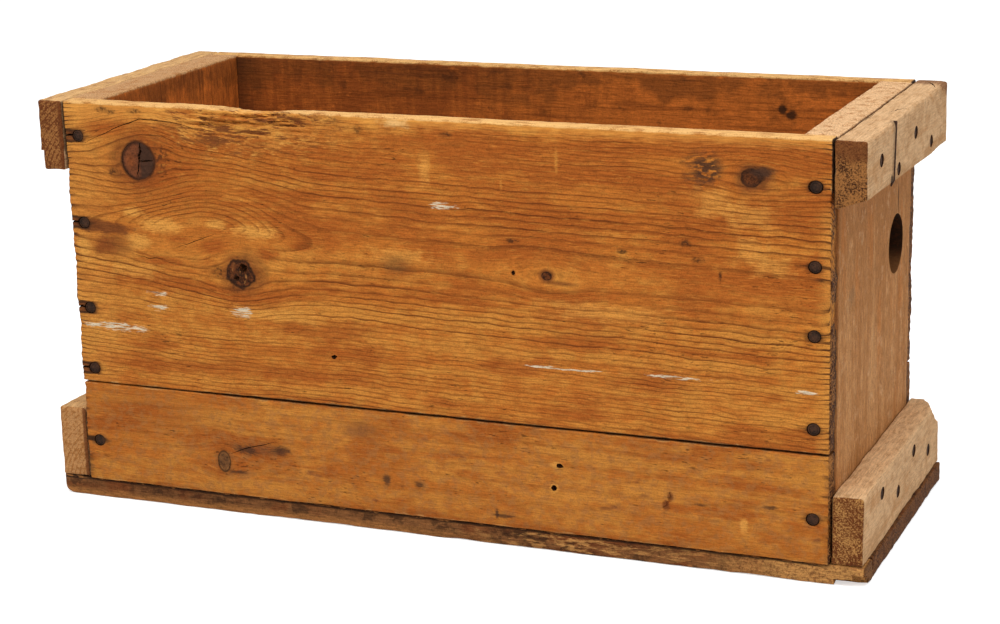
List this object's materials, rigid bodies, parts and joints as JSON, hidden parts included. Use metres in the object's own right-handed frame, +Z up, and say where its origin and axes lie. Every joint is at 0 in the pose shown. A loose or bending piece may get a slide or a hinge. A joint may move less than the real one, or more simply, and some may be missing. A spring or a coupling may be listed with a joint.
{
  "type": "wooden shipping box",
  "caption": "Open-topped nailed pine shipping box with plank sides, battened end boards, a planked bottom and a round hole through an end board.",
  "frame": {"origin": "middle of the box, on the surface that it stands on", "axes": "+X along the length towards the end with the round hole, +Y from the front to the back, +Z up"},
  "size_m": [0.564, 0.216, 0.275],
  "materials": {
    "side_pine": "worn, oiled honey-brown pine with dark late wood",
    "end_pine": "dry tan pine with upright grain",
    "batten_pine": "weathered pale pine with rough sawn ends",
    "bottom_pine": "dirty dark pine, scuffed",
    "nail_iron": "rusted dark iron"
  },
  "bodies": {
    "root": {"front_upper_board": "side_pine", "front_lower_board": "side_pine", "back_upper_board": "side_pine", "back_lower_board": "side_pine", "left_end_board": "end_pine", "right_end_board": "end_pine", "bottom_wide_board": "bottom_pine", "bottom_front_strip": "bottom_pine", "left_upper_batten": "batten_pine", "left_lower_batten": "batten_pine", "right_upper_batten": "batten_pine", "right_lower_batten": "batten_pine", "front_left_nails": "nail_iron", "front_right_nails": "nail_iron", "back_left_nails": "nail_iron", "back_right_nails": "nail_iron", "left_upper_batten_nails": "nail_iron", "left_lower_batten_nails": "nail_iron", "right_upper_batten_nails": "nail_iron", "right_lower_batten_nails": "nail_iron", "bottom_left_nails": "nail_iron", "bottom_right_nails": "nail_iron", "bottom_front_nails": "nail_iron", "bottom_back_nails": "nail_iron", "lid_nail": "nail_iron"}
  },
  "joints": []
}
